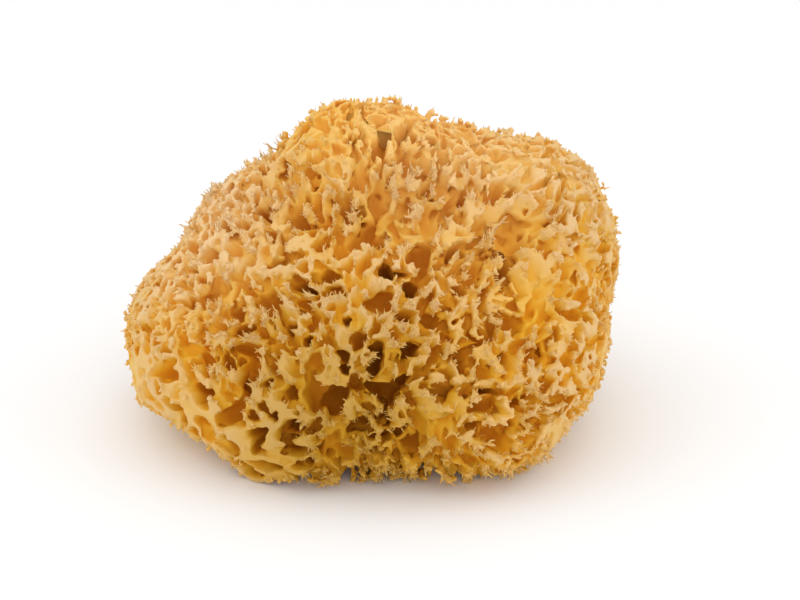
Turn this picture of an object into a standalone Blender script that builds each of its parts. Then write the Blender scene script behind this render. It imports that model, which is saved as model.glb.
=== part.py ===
"""A natural sea sponge, cut off flat where it grew on the rock and resting on the cut.

One grown piece: a lumpy body whose whole outside is pitted with canals. The canals' mouths lie so
close together that only thin walls stand between them, and the walls rise to a point where three
or more of them meet. +Z is up, the cut is at z = 0, and -Y is the side that is seen from the front.
"""

import math
from collections import namedtuple

import bmesh
import bpy
import numpy as np

MM = 0.001

# The swellings of the body, in mm: centre (x, y, z) and half sizes (x, y, z)
LOBES = {
    "main": ((-1, 0, 30), (58, 50, 42)),
    "crown": ((-2, 6, 60), (31, 30, 32)),
    "saddle": ((20, 8, 58), (24, 28, 25)),
    "right_top": ((42, 8, 49), (28.5, 33, 31)),
    "right_side": ((43, -4, 28), (25, 38, 26)),
    "left_end": ((-47, -2, 24), (23, 34, 23)),
    "left_slope": ((-26, 5, 47), (24, 30, 27)),
    "front_left": ((-16, -28, 18), (33, 24, 24)),
    "front_right": ((26, -29, 19), (29, 25, 23)),
    "back": ((6, 27, 28), (42, 25, 30)),
}
LOBE_BLEND = 3.2  # mm over which one swelling runs into the next
HEART = np.array([0.0, 4.0, 32.0])  # mm, the point inside that every canal runs towards
FARTHEST = 110.0  # mm, more than the surface is ever away from the heart

# The canals lean: for each mm that one goes in, it also drops by this much
LEAN = 0.35
LEAN_FULL_AT = 30.0  # mm above the cut where the lean has its full value

# Where the large canals are seen from: the front, a little above, in mm
SIGHT_ELEVATION = math.radians(25)
SIGHT_DISTANCE = 535.0
SIGHT_AIM = np.array([8.5, 0.0, 35.5])

# Large canals on the front: (across, up, half width, half height, depth) of each mouth in mm,
# on a plane through the middle of the sponge that faces the viewer
FRONT_CANALS = (
    # left upper
    (-41.5, 22, 1.4, 1.4, 6),
    (-40.5, 15.5, 2.4, 1.8, 6),
    (-34.5, 20, 1.1, 1.4, 6),
    (-47, 12.5, 2, 2, 6),
    (-30, 28.5, 2.8, 2.5, 10),
    (-22.5, 26, 2.5, 3.4, 10),
    (-18, 39, 1.7, 2.3, 6),
    (-1.5, 37, 2.8, 3.7, 6),
    (-7, 29.5, 2, 2.3, 10),
    (-1.5, 21, 2.3, 5.1, 10),
    (-26.5, 11, 3.7, 1.4, 15),
    (-15, 16.5, 2.3, 2, 6),
    (-8, 15.5, 2.8, 2.3, 6),
    (-18, 21.5, 2.3, 2, 6),
    (-21.5, 12.5, 2, 1.7, 6),
    (-12.5, 8, 2.8, 2, 10),
    (-22, 35, 2.3, 1.4, 6),
    (-29.5, 19.5, 1.4, 3.1, 6),
    (-4, 48, 1.4, 1.4, 6),
    (-52.5, 8, 1.4, 1.1, 6),
    (-39.5, 7, 1.7, 1.1, 6),
    # upper right
    (4, 46.5, 2, 4, 6),
    (10.5, 48.5, 2.3, 2.5, 6),
    (11.5, 42, 3.4, 2.3, 6),
    (20, 42, 2.3, 1.4, 6),
    (33.5, 38, 2.8, 2.3, 6),
    (30.5, 33.5, 2.5, 1.4, 10),
    (39, 33, 2.3, 2.3, 10),
    (44.5, 33, 1.4, 2, 10),
    (18, 25, 3.4, 5.4, 6),
    (26.5, 26, 2.3, 2.3, 6),
    (11, 27, 1.4, 1.4, 6),
    (21.5, 34, 1.7, 2, 6),
    (33.5, 22.5, 3.4, 2.8, 6),
    (43.5, 21, 4, 4.8, 10),
    (42, 14, 2, 2.8, 15),
    (27, 15.5, 2, 2.3, 10),
    (15.5, 13.5, 3.4, 5.7, 10),
    (4, 19, 1.4, 1.7, 10),
    (5, 9, 1.4, 2.3, 15),
    (33, 13, 2.5, 2.5, 6),
    (52, 16.5, 2.5, 1.7, 6),
    (49, 23.5, 1.7, 1.4, 6),
    (59, 26, 1.4, 1.1, 6),
    (54, 24, 1.1, 1.1, 6),
    (58.5, 19, 1.4, 1.1, 6),
    (39, 7.5, 2.3, 2.3, 15),
    (57, 9.5, 2.3, 3.1, 6),
    (30, 45.5, 1.7, 1.1, 6),
    # left lower
    (-30, 0.5, 4, 3.1, 10),
    (-26, 1, 1.1, 1.4, 15),
    (-19.5, 5, 2.8, 1.4, 15),
    (-11, 3.5, 2.3, 1.1, 15),
    (-40, -3, 2.5, 2.3, 10),
    (-38, -9, 2.5, 2, 10),
    (-52.5, -1.5, 2.8, 1.7, 6),
    (-36, -15.5, 4.5, 1.7, 10),
    (-35, -20.5, 3.1, 2.5, 10),
    (-37.5, -25.5, 2.8, 3.1, 10),
    (-59, -20.5, 4.2, 2.8, 6),
    (-49.5, -26.5, 2.5, 3.4, 10),
    (-54.5, -33.5, 1.7, 3.4, 6),
    (-58, -30, 1.4, 1.7, 6),
    (-41.5, -33.5, 4.2, 4.2, 10),
    (-33, -39.5, 3.4, 2, 10),
    (-32.5, -43.5, 2.3, 1.4, 10),
    (-24, -37, 2, 2.8, 15),
    (-21, -43, 3.7, 1.4, 15),
    (-18, -47, 2.5, 1.7, 10),
    (-29, -48.5, 4.5, 2, 10),
    (-11, -29.5, 3.7, 3.4, 15),
    (-17, -27, 3.7, 4.5, 10),
    (-18.5, -12.5, 1.1, 1.1, 15),
    (-24, -8, 1.7, 1.4, 10),
    (-7.5, -16, 1.4, 2, 10),
    (-6.5, -5.5, 1.1, 1.1, 10),
    (-25, -26.5, 1.7, 1.7, 10),
    (-29.5, -24, 1.1, 1.1, 6),
    (-28.5, -33, 1.1, 1.1, 6),
    (-2.5, -11, 2.3, 2.3, 10),
    (-3, -37, 3.1, 2.8, 10),
    (-3, -24.5, 2.3, 2.3, 10),
    (-6.5, -20.5, 1.4, 1.4, 10),
    (-8, -45, 3.4, 2.3, 6),
    # right lower
    (3.5, 0.5, 4.2, 3.4, 10),
    (13, 4, 2, 1.7, 15),
    (19.5, -5, 1.7, 2.3, 10),
    (11.5, -4.5, 2.3, 1.4, 10),
    (3.5, -13, 1.7, 1.1, 15),
    (13.5, -13, 2, 1.4, 15),
    (3, -18.5, 1.4, 2.8, 15),
    (11, -23, 2.3, 1.1, 15),
    (5, -26.5, 3.4, 2.8, 15),
    (4, -34, 1.7, 2, 15),
    (7.5, -39, 2.8, 2, 15),
    (26.5, 4, 2, 2, 10),
    (39.5, -6.5, 2, 3.1, 10),
    (44, -6.5, 1.7, 2.8, 10),
    (34.5, -9.5, 2.5, 1.7, 10),
    (23, -10, 1.4, 1.1, 6),
    (27, -18, 2.5, 2.8, 10),
    (49, -16, 2, 4, 10),
    (39.5, -18, 1.1, 2.8, 10),
    (36.5, -26.5, 2.5, 0.8, 15),
    (33, -20, 2, 2.3, 6),
    (21, -27, 3.1, 2.3, 6),
    (30, -31, 2, 1.7, 10),
    (35.5, -31.5, 2.8, 2, 10),
    (46.5, -28, 1.7, 1.4, 10),
    (53.5, -28, 1.7, 1.4, 6),
    (33.5, -38, 2.3, 1.4, 10),
    (42, -36.5, 2, 3.1, 10),
    (48.5, -36, 2.3, 2.8, 10),
    (24.5, -41, 2.8, 2, 6),
    (39, -42, 2.8, 2, 10),
    (58.5, -4, 3.1, 1.4, 6),
    (54, -10.5, 1.1, 1.1, 6),
    (60, -10, 1.4, 1.1, 6),
    (65.5, -18, 1.4, 2, 6),
    (61, -26.5, 1.4, 1.4, 6),
    (13, -45, 3.7, 2.3, 10),
    (1.5, -44, 2, 1.7, 10),
)
SMALLEST_FRONT = 2.0  # mm, a narrower mouth than this is left out of the solid
SIGHT_STEP = 0.1  # mm between the places tried along a line of sight
SIGHT_REACH = 80.0  # mm, how far such a line is followed to each side of the plane

# The canals that fill the rest of the outside
WIDE_RADIUS = (3.4, 5.0)  # mm, mouth radii on the sides that the front view doesn't show
NARROW_RADIUS = (2.5, 3.6)  # mm, mouth radii of the small ones between them
DEPTH_PER_RADIUS = 2.1
WALL = 2.0  # mm from one mouth to the next
FRONT_WALL = 0.2  # mm, the same between the large canals on the front
CROWDING = 0.85  # share of their radii that two mouths keep apart, the wall aside
LOWEST_END = 0.6  # a canal is no deeper than this share of its mouth's height above the cut
TURNED_AWAY = -0.1  # a side counts as hidden from the front when it faces the viewer less than this
SHORTEST_WALL = 0.018  # radians from the heart, a shorter side of a cell than this is left out
TRIES = 9000  # directions tried when the surface is filled
SEED = 11
HALVINGS = 30  # steps of the search for the surface along a direction

# The cut
FOOT_RADIUS = 5.0  # mm, the plain patch in the middle of the cut
CUT_SPACING = 11.0  # mm between the canals that open on the cut
CUT_RADIUS = 3.6  # mm, their mouths
CUT_DEPTH = 4.5  # mm
CUT_LAND = 0.72  # width of such a mouth, as a share of its cell
CUT_NARROWING = 0.7  # width of such a canal's floor, as a share of its mouth
CUT_ROOM = 0.6  # how near the rim's cells such a canal may come, as a share of the spacing
RIM_TURNS = 720  # places measured round the rim
RIM_SPACING = 8.0  # mm between the small walls along the rim of the cut
RIM_WIDTH = 2.6  # mm, how far the rim's two rows of cells have their middles from it
RIM_DEPTH = 3.0  # mm, of the pits along the rim
FLAT_WITHIN = 1.2  # mm above the cut, where a point is set down on it

# The walls between the canals
POINT_HEIGHT = (0.3, 1.9)  # mm that a point stands above the body, where walls meet
MOUTH_WIDTH = 0.80  # width of a canal's mouth, as a share of its cell
MOUTH_SINK = 0.45  # mm that the mouth lies below the body's surface
FLOOR_WIDTH = 0.46  # width of a wide canal's floor, as a share of its cell

SPONGE_COLOUR = (0.78, 0.47, 0.16, 1.0)
SPONGE_ROUGHNESS = 0.85

# form names the method of Surface that makes the cell: well, pit, cut or plain
Canal = namedtuple("Canal", "mouth radius depth form")


def lobe_distance(points, centre, half):
    """Roughly how far points are outside one swelling, in mm."""
    offset = points - np.array(centre, float)
    half = np.array(half, float)
    inner = np.linalg.norm(offset / half, axis=-1)
    slope = np.linalg.norm(offset / half**2, axis=-1)
    return inner * (inner - 1) / np.maximum(slope, 1e-9)


def lobes_distance(points):
    """Roughly how far points are outside the swellings together, in mm."""
    near = sum(np.exp(-lobe_distance(points, *lobe) / LOBE_BLEND) for lobe in LOBES.values())
    return -LOBE_BLEND * np.log(near)


def body_distance(points):
    """Roughly how far points are outside the body, cut included, in mm."""
    return np.maximum(lobes_distance(points), -points[..., 2])


def crossing(origin, directions, distance, farthest):
    """How far along each direction from origin a distance function turns positive."""
    low = np.zeros(len(directions))
    high = np.full(len(directions), farthest)
    for _ in range(HALVINGS):
        middle = (low + high) / 2
        inside = distance(origin + directions * middle[:, None]) < 0
        low = np.where(inside, middle, low)
        high = np.where(inside, high, middle)
    return low


def reach(directions):
    """How far the surface is from the heart in each direction, in mm."""
    return crossing(HEART, directions, body_distance, FARTHEST)


def unit(vectors):
    return vectors / np.linalg.norm(vectors, axis=-1, keepdims=True)


AHEAD = np.array([0.0, math.cos(SIGHT_ELEVATION), -math.sin(SIGHT_ELEVATION)])  # as the viewer looks
UP = np.array([0.0, math.sin(SIGHT_ELEVATION), math.cos(SIGHT_ELEVATION)])


def canals_seen_from_the_front():
    """The large canals, each found along the line of sight to its mouth."""
    eye = SIGHT_AIM - AHEAD * SIGHT_DISTANCE
    steps = np.arange(-SIGHT_REACH, SIGHT_REACH, SIGHT_STEP)[:, None]
    middle = np.array([0.0, SIGHT_AIM[1], SIGHT_AIM[2]])
    found = []
    for across, height, half_width, half_height, depth in FRONT_CANALS:
        radius = math.sqrt(half_width * half_height)
        if radius < SMALLEST_FRONT:
            continue
        through = middle + np.array([across, 0.0, 0.0]) + UP * height
        line = through + unit(through - eye) * steps
        inside = np.nonzero(body_distance(line) < 0)[0]
        if len(inside):
            found.append(Canal(line[inside[0]], radius, float(depth), "well"))
    return found


def cut_rim():
    """Points evenly along the rim of the cut, in mm."""
    turn = np.linspace(0.0, 2 * math.pi, RIM_TURNS + 1)
    outward = np.stack([np.cos(turn), np.sin(turn), np.zeros_like(turn)], axis=-1)
    rim = outward * crossing(np.zeros(3), outward, lobes_distance, FARTHEST)[:, None]
    along = np.concatenate([[0.0], np.cumsum(np.linalg.norm(np.diff(rim, axis=0), axis=1))])
    count = round(along[-1] / RIM_SPACING)
    stops = along[-1] * np.arange(count) / count
    return np.stack([np.interp(stops, along, rim[:, axis]) for axis in range(3)], axis=-1)


def cut_canals():
    """The cells of the cut: a plain foot, canals in rows, a plain row and pits along its rim."""
    rim = cut_rim()
    cells = [Canal(np.zeros(3), FOOT_RADIUS, 0.0, "plain")]
    rows = math.ceil(FARTHEST / CUT_SPACING)
    for row in range(-rows, rows + 1):
        for column in range(-rows, rows + 1):
            across = CUT_SPACING * (column + 0.5 * (row % 2))
            mouth = np.array([across, CUT_SPACING * math.sqrt(0.75) * row, 0.0])
            inside = lobes_distance(mouth) < 0
            room = np.linalg.norm(rim - mouth, axis=1).min() - RIM_WIDTH
            if inside and room > CUT_ROOM * CUT_SPACING and mouth.any():
                cells.append(Canal(mouth, CUT_RADIUS, CUT_DEPTH, "cut"))
    for index, point in enumerate(rim):
        along = rim[(index + 1) % len(rim)] - rim[index - 1]
        outward = unit(point - HEART)
        aside = unit(np.cross(along, outward))
        step = math.atan(RIM_WIDTH / np.linalg.norm(point - HEART))
        for turn, depth, form in ((step, RIM_DEPTH, "pit"), (-step, 0.0, "plain")):
            direction = outward * math.cos(turn) + aside * math.sin(turn)
            mouth = HEART + direction * np.linalg.norm(point - HEART)
            cells.append(Canal(mouth, RIM_WIDTH, depth, form))
    return cells


def spread_directions(count):
    """Directions spread evenly over a sphere."""
    index = np.arange(count) + 0.5
    polar = np.arccos(1 - 2 * index / count)
    turn = math.pi * (1 + math.sqrt(5)) * index
    return np.stack(
        [np.cos(turn) * np.sin(polar), np.sin(turn) * np.sin(polar), np.cos(polar)], axis=-1
    )


def all_canals():
    """The cut's cells, the front canals, and others wherever there is still room."""
    chance = np.random.default_rng(SEED)
    canals = cut_canals()

    def has_room(mouth, radius, wall):
        middles = np.array([canal.mouth for canal in canals])
        radii = np.array([canal.radius for canal in canals])
        return np.all(np.linalg.norm(middles - mouth, axis=1) > CROWDING * (radii + radius) + wall)

    for canal in canals_seen_from_the_front():
        if has_room(canal.mouth, canal.radius, FRONT_WALL):
            canals.append(canal)
    directions = spread_directions(TRIES)
    surface = HEART + directions * reach(directions)[:, None]
    order = chance.permutation(np.nonzero(surface[:, 2] > RIM_WIDTH)[0])
    hidden = directions @ AHEAD > TURNED_AWAY
    anywhere = np.ones_like(hidden)
    for limits, form, allowed in ((WIDE_RADIUS, "well", hidden), (NARROW_RADIUS, "pit", anywhere)):
        for index in order:
            radius = chance.uniform(*limits)
            if allowed[index] and has_room(surface[index], radius, WALL):
                depth = min(DEPTH_PER_RADIUS * radius, LOWEST_END * surface[index][2])
                canals.append(Canal(surface[index], radius, depth, form))
    return canals


def cells_around(canals):
    """The walls' meeting points, as directions from the heart, and which of them ring each canal.

    Each mouth is a circle on a sphere round the heart. The plane of each circle cuts the sphere,
    and the planes' polyhedron has one face for each canal: wide mouths get wide faces. Its corners
    come from the hull of the planes' poles.
    """
    inward = np.array([canal.mouth for canal in canals]) - HEART
    axes = unit(inward)
    spans = (np.array([canal.radius for canal in canals]) + WALL / 2) / np.linalg.norm(inward, axis=1)
    heights = np.cos(spans)
    hull = bmesh.new()
    for pole in axes / heights[:, None]:
        hull.verts.new(pole)
    hull.verts.index_update()
    bmesh.ops.convex_hull(hull, input=hull.verts)
    hull.faces.index_update()
    corners = []
    for face in hull.faces:
        around = [vertex.index for vertex in face.verts][:3]
        corners.append(np.linalg.solve(axes[around], heights[around]))
    rings = [faces_round(vertex) for vertex in hull.verts]
    hull.free()
    corners = unit(np.array(corners))
    return axes, corners, merged_rings(corners, rings)


def faces_round(vertex):
    """The numbers of the faces round a hull's vertex, in order."""
    if not vertex.link_loops:
        return []
    loop = first = vertex.link_loops[0]
    faces = []
    while not faces or loop is not first:
        faces.append(loop.face.index)
        loop = loop.link_loop_prev.link_loop_radial_next
    return faces


def merged_rings(corners, rings):
    """The rings again, with corners that nearly touch made one."""
    same = list(range(len(corners)))
    for ring in rings:
        for here, following in zip(ring, ring[1:] + ring[:1]):
            if np.linalg.norm(corners[here] - corners[following]) < SHORTEST_WALL:
                low, high = sorted((same[here], same[following]))
                same = [low if number == high else number for number in same]
    merged = []
    for ring in rings:
        ring = [same[number] for number in ring]
        merged.append([number for number, before in zip(ring, ring[-1:] + ring[:-1]) if number != before])
    return merged


def place_below(directions, depths):
    """Points that far below the surface in mm, moved down as far as the canals lean there."""
    distances = reach(directions)
    places = HEART + directions * (distances - depths)[:, None]
    heights = HEART[2] + directions[:, 2] * distances
    lean = LEAN * np.clip(heights / LEAN_FULL_AT, 0.0, 1.0)
    places[:, 2] -= lean * np.maximum(depths, 0.0)
    return places


class Surface:
    """Points, each as a direction from the heart with a depth or a lift, and faces over them."""

    def __init__(self, corners, rises):
        self.corners = corners
        self.directions = list(corners)
        self.depths = list(-rises)
        self.lifts = [0.0] * len(corners)
        self.faces = []

    def ring(self, outer, axis, share, depth, lift=0.0):
        """A ring of points inside a canal's cell, share of the way out from its axis."""
        first = len(self.directions)
        for corner in outer:
            self.directions.append(unit(axis + (self.corners[corner] - axis) * share))
            self.depths.append(depth)
            self.lifts.append(lift)
        return list(range(first, len(self.directions)))

    def band(self, outer, inner):
        for k, start in enumerate(outer):
            following = (k + 1) % len(outer)
            self.faces.append((start, outer[following], inner[following], inner[k]))

    def well(self, ring, axis, canal):
        """A wide canal with steep walls and a small floor."""
        mouth = self.ring(ring, axis, MOUTH_WIDTH, MOUTH_SINK)
        floor = self.ring(ring, axis, FLOOR_WIDTH, canal.depth)
        self.band(ring, mouth)
        self.band(mouth, floor)
        self.faces.append(tuple(floor))

    def pit(self, ring, axis, canal):
        """A small canal that runs to a point."""
        mouth = self.ring(ring, axis, MOUTH_WIDTH, MOUTH_SINK)
        end = self.ring(ring[:1], axis, 0.0, canal.depth)[0]
        self.band(ring, mouth)
        for k, start in enumerate(mouth):
            self.faces.append((start, mouth[(k + 1) % len(mouth)], end))

    def cut(self, ring, axis, canal):
        """A canal that opens on the cut, with flat land round it."""
        mouth = self.ring(ring, axis, CUT_LAND, 0.0)
        floor = self.ring(ring, axis, CUT_LAND * CUT_NARROWING, 0.0, canal.depth)
        self.band(ring, mouth)
        self.band(mouth, floor)
        self.faces.append(tuple(floor))

    def plain(self, ring, axis, canal):
        self.faces.append(tuple(ring))

    def points(self):
        """Every point's place in mm."""
        places = place_below(np.array(self.directions), np.array(self.depths))
        places[:, 2] += np.array(self.lifts)
        return places


def sponge_mesh():
    chance = np.random.default_rng(SEED + 1)
    canals = all_canals()
    axes, corners, rings = cells_around(canals)
    heights = (HEART + corners * reach(corners)[:, None])[:, 2]
    on_cut = heights < FLAT_WITHIN
    rises = np.where(on_cut, 0.0, chance.uniform(*POINT_HEIGHT, len(corners)))
    surface = Surface(corners, rises)
    for canal, axis, ring in zip(canals, axes, rings):
        if len(ring) > 2:
            getattr(surface, canal.form)(ring, axis, canal)
    places = surface.points()
    places[: len(corners)][on_cut, 2] = 0.0
    bm = bmesh.new()
    for place in places:
        bm.verts.new(place * MM)
    bm.verts.ensure_lookup_table()
    for face in surface.faces:
        bm.faces.new([bm.verts[number] for number in face])
    bmesh.ops.delete(bm, geom=[vertex for vertex in bm.verts if not vertex.link_faces], context="VERTS")
    bmesh.ops.triangulate(bm, faces=bm.faces)
    bmesh.ops.recalc_face_normals(bm, faces=bm.faces)
    mesh = bpy.data.meshes.new("sea_sponge")
    bm.to_mesh(mesh)
    bm.free()
    return mesh


def sponge_material():
    material = bpy.data.materials.new("sponge_fibre")
    material.use_nodes = True
    shader = material.node_tree.nodes["Principled BSDF"]
    shader.inputs["Base Color"].default_value = SPONGE_COLOUR
    shader.inputs["Roughness"].default_value = SPONGE_ROUGHNESS
    shader.inputs["Metallic"].default_value = 0.0
    return material


def main():
    for existing in list(bpy.data.objects):
        bpy.data.objects.remove(existing)
    mesh = sponge_mesh()
    mesh.materials.append(sponge_material())
    sponge = bpy.data.objects.new("sea_sponge", mesh)
    bpy.context.scene.collection.objects.link(sponge)


main()
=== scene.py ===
"""The looks of a dry natural sea sponge: its pitted fibre body, the fringe on its walls, floor and light.

The fine body is carved on a grid of sample points: a lumpy body, less its canals and pits, plus the
pointed fingers that stand on the walls between them. All lengths in the tables and in the carving
are millimetres, and become metres when a mesh is made.
"""

import itertools
import math
from collections import namedtuple

import bpy
import numpy as np
import openvdb
import mathutils
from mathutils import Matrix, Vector, kdtree


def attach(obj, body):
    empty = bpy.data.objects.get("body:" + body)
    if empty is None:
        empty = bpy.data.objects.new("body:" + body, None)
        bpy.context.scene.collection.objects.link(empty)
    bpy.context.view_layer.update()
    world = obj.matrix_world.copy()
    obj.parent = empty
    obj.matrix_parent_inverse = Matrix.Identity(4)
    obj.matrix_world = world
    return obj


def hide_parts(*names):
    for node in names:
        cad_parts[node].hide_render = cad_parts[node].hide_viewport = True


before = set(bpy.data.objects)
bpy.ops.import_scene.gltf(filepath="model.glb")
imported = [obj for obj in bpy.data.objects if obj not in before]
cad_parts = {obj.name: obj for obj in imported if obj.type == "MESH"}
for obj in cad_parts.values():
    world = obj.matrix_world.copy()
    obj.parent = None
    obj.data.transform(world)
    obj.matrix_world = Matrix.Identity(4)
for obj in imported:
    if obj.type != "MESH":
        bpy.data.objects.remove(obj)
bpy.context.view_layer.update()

MM = 0.001

# The swellings of the body: centre (x, y, z) and half sizes (x, y, z)
LOBES = {
    "main": ((-1, 0, 30), (58, 50, 42)),
    "crown": ((-2, 6, 60), (31, 30, 32)),
    "saddle": ((20, 8, 58), (24, 28, 25)),
    "right_top": ((42, 8, 49), (28.5, 33, 31)),
    "right_side": ((43, -4, 28), (25, 38, 26)),
    "left_end": ((-47, -2, 24), (23, 34, 23)),
    "left_slope": ((-26, 5, 47), (24, 30, 27)),
    "front_left": ((-16, -28, 18), (33, 24, 24)),
    "front_right": ((26, -29, 19), (29, 25, 23)),
    "back": ((6, 27, 28), (42, 25, 30)),
}
LOBE_BLEND = 3.2
HEART = np.array([0.0, 4.0, 32.0])  # the point inside that every canal runs towards
FAN_HEIGHT = 100.0  # ribs and fibre ends run up, and fan out as if from a point this far below
LEAN = 0.35  # how far a canal drops for each mm that it goes in
LEAN_FULL_AT = 30.0  # mm above the cut where the lean has its full value
UPWARD = np.array([0.0, 0.0, 1.0])
FARTHEST = 110.0  # mm from the heart up to which the body's outline is looked for
HALVINGS = 22

# The camera, which is also where the front canals are seen from
VIEW_ELEVATION = math.radians(25)
VIEW_DISTANCE = 535.0
VIEW_AIM = np.array([8.5, 0.0, 35.5])
LENS = 85.0
SIGHT_REACH = 80.0  # mm before and behind the middle of the sponge that a line of sight is followed
SIGHT_PLACES = 1601

# Large canals on the front: (across, up, half width, half height, depth) of each mouth,
# on a plane through the middle of the sponge that faces the viewer
FRONT_CANALS = (
    # left upper
    (-41.5, 22, 1.4, 1.4, 6),
    (-40.5, 15.5, 2.4, 1.8, 6),
    (-34.5, 20, 1.1, 1.4, 6),
    (-47, 12.5, 2, 2, 6),
    (-30, 28.5, 2.8, 2.5, 10),
    (-22.5, 26, 2.5, 3.4, 10),
    (-18, 39, 1.7, 2.3, 6),
    (-1.5, 37, 2.8, 3.7, 6),
    (-7, 29.5, 2, 2.3, 10),
    (-1.5, 21, 2.3, 5.1, 10),
    (-26.5, 11, 3.7, 1.4, 15),
    (-15, 16.5, 2.3, 2, 6),
    (-8, 15.5, 2.8, 2.3, 6),
    (-18, 21.5, 2.3, 2, 6),
    (-21.5, 12.5, 2, 1.7, 6),
    (-12.5, 8, 2.8, 2, 10),
    (-22, 35, 2.3, 1.4, 6),
    (-29.5, 19.5, 1.4, 3.1, 6),
    (-4, 48, 1.4, 1.4, 6),
    (-52.5, 8, 1.4, 1.1, 6),
    (-39.5, 7, 1.7, 1.1, 6),
    # upper right
    (4, 46.5, 2, 4, 6),
    (10.5, 48.5, 2.3, 2.5, 6),
    (11.5, 42, 3.4, 2.3, 6),
    (20, 42, 2.3, 1.4, 6),
    (33.5, 38, 2.8, 2.3, 6),
    (30.5, 33.5, 2.5, 1.4, 10),
    (39, 33, 2.3, 2.3, 10),
    (44.5, 33, 1.4, 2, 10),
    (18, 25, 3.4, 5.4, 6),
    (26.5, 26, 2.3, 2.3, 6),
    (11, 27, 1.4, 1.4, 6),
    (21.5, 34, 1.7, 2, 6),
    (33.5, 22.5, 3.4, 2.8, 6),
    (43.5, 21, 4, 4.8, 10),
    (42, 14, 2, 2.8, 15),
    (27, 15.5, 2, 2.3, 10),
    (15.5, 13.5, 3.4, 5.7, 10),
    (4, 19, 1.4, 1.7, 10),
    (5, 9, 1.4, 2.3, 15),
    (33, 13, 2.5, 2.5, 6),
    (52, 16.5, 2.5, 1.7, 6),
    (49, 23.5, 1.7, 1.4, 6),
    (59, 26, 1.4, 1.1, 6),
    (54, 24, 1.1, 1.1, 6),
    (58.5, 19, 1.4, 1.1, 6),
    (39, 7.5, 2.3, 2.3, 15),
    (57, 9.5, 2.3, 3.1, 6),
    (30, 45.5, 1.7, 1.1, 6),
    # left lower
    (-30, 0.5, 4, 3.1, 10),
    (-26, 1, 1.1, 1.4, 15),
    (-19.5, 5, 2.8, 1.4, 15),
    (-11, 3.5, 2.3, 1.1, 15),
    (-40, -3, 2.5, 2.3, 10),
    (-38, -9, 2.5, 2, 10),
    (-52.5, -1.5, 2.8, 1.7, 6),
    (-36, -15.5, 4.5, 1.7, 10),
    (-35, -20.5, 3.1, 2.5, 10),
    (-37.5, -25.5, 2.8, 3.1, 10),
    (-59, -20.5, 4.2, 2.8, 6),
    (-49.5, -26.5, 2.5, 3.4, 10),
    (-54.5, -33.5, 1.7, 3.4, 6),
    (-58, -30, 1.4, 1.7, 6),
    (-41.5, -33.5, 4.2, 4.2, 10),
    (-33, -39.5, 3.4, 2, 10),
    (-32.5, -43.5, 2.3, 1.4, 10),
    (-24, -37, 2, 2.8, 15),
    (-21, -43, 3.7, 1.4, 15),
    (-18, -47, 2.5, 1.7, 10),
    (-29, -48.5, 4.5, 2, 10),
    (-11, -29.5, 3.7, 3.4, 15),
    (-17, -27, 3.7, 4.5, 10),
    (-18.5, -12.5, 1.1, 1.1, 15),
    (-24, -8, 1.7, 1.4, 10),
    (-7.5, -16, 1.4, 2, 10),
    (-6.5, -5.5, 1.1, 1.1, 10),
    (-25, -26.5, 1.7, 1.7, 10),
    (-29.5, -24, 1.1, 1.1, 6),
    (-28.5, -33, 1.1, 1.1, 6),
    (-2.5, -11, 2.3, 2.3, 10),
    (-3, -37, 3.1, 2.8, 10),
    (-3, -24.5, 2.3, 2.3, 10),
    (-6.5, -20.5, 1.4, 1.4, 10),
    (-8, -45, 3.4, 2.3, 6),
    # right lower
    (3.5, 0.5, 4.2, 3.4, 10),
    (13, 4, 2, 1.7, 15),
    (19.5, -5, 1.7, 2.3, 10),
    (11.5, -4.5, 2.3, 1.4, 10),
    (3.5, -13, 1.7, 1.1, 15),
    (13.5, -13, 2, 1.4, 15),
    (3, -18.5, 1.4, 2.8, 15),
    (11, -23, 2.3, 1.1, 15),
    (5, -26.5, 3.4, 2.8, 15),
    (4, -34, 1.7, 2, 15),
    (7.5, -39, 2.8, 2, 15),
    (26.5, 4, 2, 2, 10),
    (39.5, -6.5, 2, 3.1, 10),
    (44, -6.5, 1.7, 2.8, 10),
    (34.5, -9.5, 2.5, 1.7, 10),
    (23, -10, 1.4, 1.1, 6),
    (27, -18, 2.5, 2.8, 10),
    (49, -16, 2, 4, 10),
    (39.5, -18, 1.1, 2.8, 10),
    (36.5, -26.5, 2.5, 0.8, 15),
    (33, -20, 2, 2.3, 6),
    (21, -27, 3.1, 2.3, 6),
    (30, -31, 2, 1.7, 10),
    (35.5, -31.5, 2.8, 2, 10),
    (46.5, -28, 1.7, 1.4, 10),
    (53.5, -28, 1.7, 1.4, 6),
    (33.5, -38, 2.3, 1.4, 10),
    (42, -36.5, 2, 3.1, 10),
    (48.5, -36, 2.3, 2.8, 10),
    (24.5, -41, 2.8, 2, 6),
    (39, -42, 2.8, 2, 10),
    (58.5, -4, 3.1, 1.4, 6),
    (54, -10.5, 1.1, 1.1, 6),
    (60, -10, 1.4, 1.1, 6),
    (65.5, -18, 1.4, 2, 6),
    (61, -26.5, 1.4, 1.4, 6),
    (13, -45, 3.7, 2.3, 10),
    (1.5, -44, 2, 1.7, 10),
)

# The grid that the body is carved on
STEP = 0.42
GRID_LOW = np.array([-75.5, -59.0, -2.0])
GRID_HIGH = np.array([76.5, 58.5, 98.0])
COARSE = 4  # steps between the places where the body's outline is worked out
WARPS = ((7.0, 1.3), (2.6, 0.6))  # (feature size, amount) of how canals and walls wander
SEED = 5

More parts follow.
